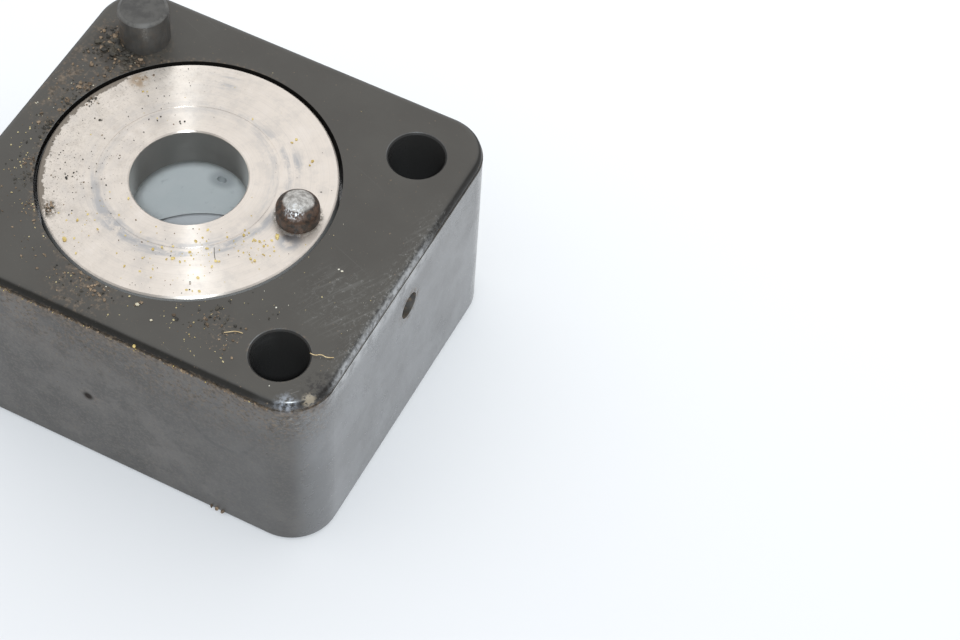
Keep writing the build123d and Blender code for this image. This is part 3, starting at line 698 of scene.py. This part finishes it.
def add_dirt():
    """All the loose dirt: crumbs on the disc, grit on the housing, and a few hairs."""
    yellow = grit_material("crumb_yellow", (0.44, 0.31, 0.09), (0.68, 0.54, 0.22))
    dull = grit_material("crumb_dull", (0.30, 0.23, 0.10), (0.54, 0.46, 0.26))
    brown = grit_material("grit_brown", (0.075, 0.050, 0.030), (0.28, 0.20, 0.13))
    black = grit_material("grit_black", (0.02, 0.018, 0.015), (0.07, 0.06, 0.045))
    pale = grit_material("grit_pale", (0.50, 0.44, 0.31), (0.76, 0.73, 0.63))
    straw = grit_material("fibre_straw", (0.50, 0.36, 0.18), (0.66, 0.52, 0.30))
    scatter("disc_crumbs", "rotor", yellow, (
        (13.2, -2.7, 0.25, 2, 0.45, 0.65),
        (12.2, -6.4, 0.25, 2, 0.45, 0.60),
        (4.2, -10.9, 0.25, 2, 0.40, 0.55),
        (8.5, -9.4, 0.25, 2, 0.35, 0.50),
        (-7.6, -14.2, 0.2, 2, 0.40, 0.55),
        (7.7, 10.3, 0.2, 2, 0.30, 0.45),
        (11.3, 8.8, 0.3, 3, 0.30, 0.50),
        (11.6, -4.8, 1.5, 40, 0.12, 0.46),
        (6.8, -9.2, 1.7, 40, 0.12, 0.46),
        (2.5, -12.0, 2.5, 26, 0.10, 0.40),
        (-6.5, -11.5, 2.5, 26, 0.10, 0.40),
        (0.0, 0.0, 11.0, 70, 0.08, 0.28),
    ), allowed_on_disc, 11)
    scatter("disc_grit", "rotor", brown, (
        (-11.2, -11.6, 0.5, 24, 0.12, 0.45),
        (-12.0, 10.4, 0.6, 8, 0.15, 0.40),
        (-15.4, 4.0, 0.4, 10, 0.15, 0.45),
        (-10.0, -6.0, 5.0, 60, 0.08, 0.24),
        (5.0, -10.0, 5.0, 40, 0.08, 0.22),
    ), allowed_on_disc, 17)
    scatter("disc_specks", "rotor", black, (
        (-4.8, 6.5, 0.2, 3, 0.25, 0.50),
        (-13.3, 2.3, 0.3, 3, 0.20, 0.40),
        (-11.5, -6.3, 0.3, 3, 0.20, 0.40),
        (-11.5, -11.6, 0.5, 20, 0.10, 0.40),
        (-12.0, -5.0, 3.0, 110, 0.06, 0.22),
        (-8.0, 8.0, 3.5, 40, 0.06, 0.24),
        (-15.6, 4.2, 0.5, 14, 0.10, 0.40),
        (4.5, -15.4, 2.5, 10, 0.10, 0.32),
        (10.0, 4.0, 3.5, 14, 0.06, 0.20),
        (2.0, -9.5, 3.5, 18, 0.06, 0.18),
    ), allowed_on_disc, 12)
    scatter("housing_crumbs", "housing", dull, (
        (-2.0, -19.0, 6.0, 110, 0.08, 0.32),
        (12.0, -17.0, 4.0, 50, 0.08, 0.28),
        (-17.5, -6.0, 4.0, 90, 0.08, 0.32),
        (19.0, -8.0, 4.0, 18, 0.07, 0.18),
        (0.0, 0.0, 20.0, 90, 0.06, 0.16),
    ), allowed_on_housing, 13)
    scatter("housing_grit", "housing", brown, (
        (4.2, -17.9, 0.3, 4, 0.25, 0.50),
        (-1.5, -18.5, 1.0, 40, 0.15, 0.50),
        (-6.0, -18.0, 2.0, 30, 0.12, 0.40),
        (11.2, -16.5, 1.4, 24, 0.15, 0.55),
        (15.0, -17.0, 1.2, 20, 0.12, 0.45),
        (stud_x / MM - 2, stud_y / MM - 3, 1.5, 60, 0.20, 0.60),
        (stud_x / MM + 1, stud_y / MM - 4, 1.5, 30, 0.15, 0.45),
        (stud_x / MM - 2.6, stud_y / MM - 2.2, 0.8, 26, 0.40, 1.05),
        (-13.4, 11.4, 0.5, 10, 0.40, 0.90),
        (-17.0, 6.0, 2.0, 60, 0.15, 0.60),
        (-18.0, 0.0, 1.5, 30, 0.12, 0.50),
        (-17.6, 2.6, 0.6, 24, 0.15, 0.50),
        (-16.4, -6.2, 0.7, 30, 0.12, 0.45),
        (-13.0, -12.2, 0.7, 24, 0.12, 0.45),
        (-16.0, -12.0, 4.0, 60, 0.08, 0.30),
    ), allowed_on_housing, 14)
    scatter("housing_specks", "housing", black, (
        (stud_x / MM - 1, stud_y / MM - 4, 1.8, 70, 0.20, 0.80),
        (stud_x / MM - 2.4, stud_y / MM - 2.8, 0.9, 60, 0.40, 1.1),
        (stud_x / MM - 0.5, stud_y / MM - 3.8, 0.6, 40, 0.30, 0.9),
        (-13.8, 11.8, 1.2, 30, 0.20, 0.60),
        (-17.2, 4.0, 1.5, 40, 0.15, 0.50),
        (-17.6, -1.5, 0.8, 40, 0.12, 0.50),
        (-15.4, -8.8, 0.8, 40, 0.12, 0.45),
        (-17.5, -6.0, 1.5, 30, 0.15, 0.45),
        (-1.0, -18.4, 2.5, 50, 0.12, 0.45),
        (11.5, -15.5, 2.0, 40, 0.15, 0.60),
        (17.5, -12.2, 0.5, 5, 0.15, 0.35),
    ), allowed_on_housing, 16)
    scatter("housing_flecks", "housing", pale, (
        (-17.0, 6.5, 2.5, 14, 0.08, 0.28),
        (-20.0, 0.5, 1.0, 6, 0.08, 0.25),
        (4.3, -18.0, 0.15, 1, 0.55, 0.60),
        (6.9, -19.1, 0.15, 1, 0.32, 0.36),
        (21.0, -3.4, 0.3, 2, 0.20, 0.35),
        (17.0, -11.0, 0.3, 1, 0.18, 0.25),
        (0.0, -18.5, 6.0, 20, 0.06, 0.18),
        (20.0, -12.0, 5.0, 26, 0.05, 0.14),
    ), allowed_on_housing, 15)
    add_ledge_dirt("ledge_dirt", brown, 150, 0.10, 0.32,
                   ((15.6, -27.1, 0.9), (14.9, -27.0, 0.7), (16.4, -27.1, 0.8)), 31)
    add_ledge_dirt("ledge_crumbs", yellow, 36, 0.08, 0.20, ((6.5, -0.8, 0.5),), 32)
    add_hair("hole_fibre", "housing", straw,
             ((23.9, -14.7, 0.05), (24.5, -14.9, 0.25), (25.1, -14.4, 0.3), (25.8, -14.5, 0.2),
              (26.4, -14.0, 0.05)), 0.11)
    add_hair("front_fibre", "housing", straw,
             ((14.2, -16.9, 0.05), (14.9, -16.5, 0.15), (15.5, -16.0, 0.15), (16.2, -15.9, 0.05)), 0.10)
    add_hair("disc_hair", "rotor", black,
             ((7.6, -7.3, 0.04), (8.0, -8.0, 0.08), (8.4, -8.5, 0.08), (8.7, -8.9, 0.04)), 0.07)


# ---- Stage, light and camera ------------------------------------------------
def add_floor():
    """The pale floor, level with the housing's underside, with a painted fall-off of light that darkens it
    towards the front, and a painted bluish grey shadow under the bore.
    """
    mesh = bpy.data.meshes.new("floor")
    half = 3.0
    corners = [(-half, -half, base_z), (half, -half, base_z), (half, half, base_z), (-half, half, base_z)]
    mesh.from_pydata(corners, [], [(0, 1, 2, 3)])
    floor = bpy.data.objects.new("floor", mesh)
    bpy.context.scene.collection.objects.link(floor)
    t = Tree("floor_pale")
    # Painted fall-off of light: the floor is darker towards the front.
    floor_light_falloff = t.span(t.math("SUBTRACT", t.y, t.times(t.x, 0.25)), -75 * MM, 85 * MM)
    colour = t.mix(floor_light_falloff, (0.715, 0.715, 0.725), (0.860, 0.860, 0.860))
    # Painted shadow: the floor under the bore is bluish grey.
    shadow_under_sleeve = t.near(0.0, 0.0, 9 * MM, 11 * MM)
    colour = t.mix(shadow_under_sleeve, colour, (0.30, 0.37, 0.38))
    mesh.materials.append(t.finish(colour, 0.6))


def add_light(name, place, size, power, colour):
    """A square area light that points at the object."""
    data = bpy.data.lights.new(name, "AREA")
    data.size = size
    data.energy = power
    data.color = colour
    light = bpy.data.objects.new(name, data)
    light.location = place
    light.rotation_euler = (-Vector(place)).to_track_quat("-Z", "Y").to_euler()
    bpy.context.scene.collection.objects.link(light)


def add_world():
    """A pale surround, dimmer towards the front."""
    world = bpy.data.worlds.new("surround")
    world.use_nodes = True
    tree = world.node_tree
    background = tree.nodes["Background"]
    place = tree.nodes.new("ShaderNodeTexCoord")
    toward = tree.nodes.new("ShaderNodeVectorMath")
    toward.operation = "DOT_PRODUCT"
    tree.links.new(place.outputs["Generated"], toward.inputs[0])
    toward.inputs[1].default_value = (math.sin(-camera_azimuth), -math.cos(camera_azimuth), 0.1)
    shade = tree.nodes.new("ShaderNodeMapRange")
    shade.interpolation_type = "SMOOTHSTEP"
    tree.links.new(toward.outputs["Value"], shade.inputs["Value"])
    back_strength, front_strength = 0.96, 0.37
    for socket, number in zip(shade.inputs[1:5], (0.25, 0.85, back_strength, front_strength)):
        socket.default_value = number
    tree.links.new(shade.outputs[0], background.inputs["Strength"])
    background.inputs["Color"].default_value = (0.985, 0.99, 1.0, 1.0)
    bpy.context.scene.world = world


def add_camera():
    """The camera, looking down at the block over its front long side."""
    elevation, roll = 0.944, 0.072
    distance = 279.2 * MM
    target = Vector((37.95 * MM, -1.94 * MM, top_z))
    level = math.cos(elevation)
    east, north = math.sin(camera_azimuth), math.cos(camera_azimuth)
    forward = Vector((east * level, north * level, -math.sin(elevation)))
    right = Vector((north, -east, 0))
    up = right.cross(forward)
    across = right * math.cos(roll) + up * math.sin(roll)
    upright = up * math.cos(roll) - right * math.sin(roll)
    data = bpy.data.cameras.new("camera")
    data.sensor_width = 36.0
    data.lens = 95.9
    data.clip_start = 0.01
    camera = bpy.data.objects.new("camera", data)
    matrix = Matrix((across, upright, -forward)).transposed().to_4x4()
    matrix.translation = target - forward * distance
    camera.matrix_world = matrix
    bpy.context.scene.collection.objects.link(camera)
    bpy.context.scene.camera = camera


add_camera()
add_world()
add_floor()
add_light("flash", (0.30, -0.46, 0.73), 0.07, 5.4, (0.86, 0.94, 1.0))
apply_materials()
add_dirt()
bpy.context.scene.view_settings.view_transform = "Standard"
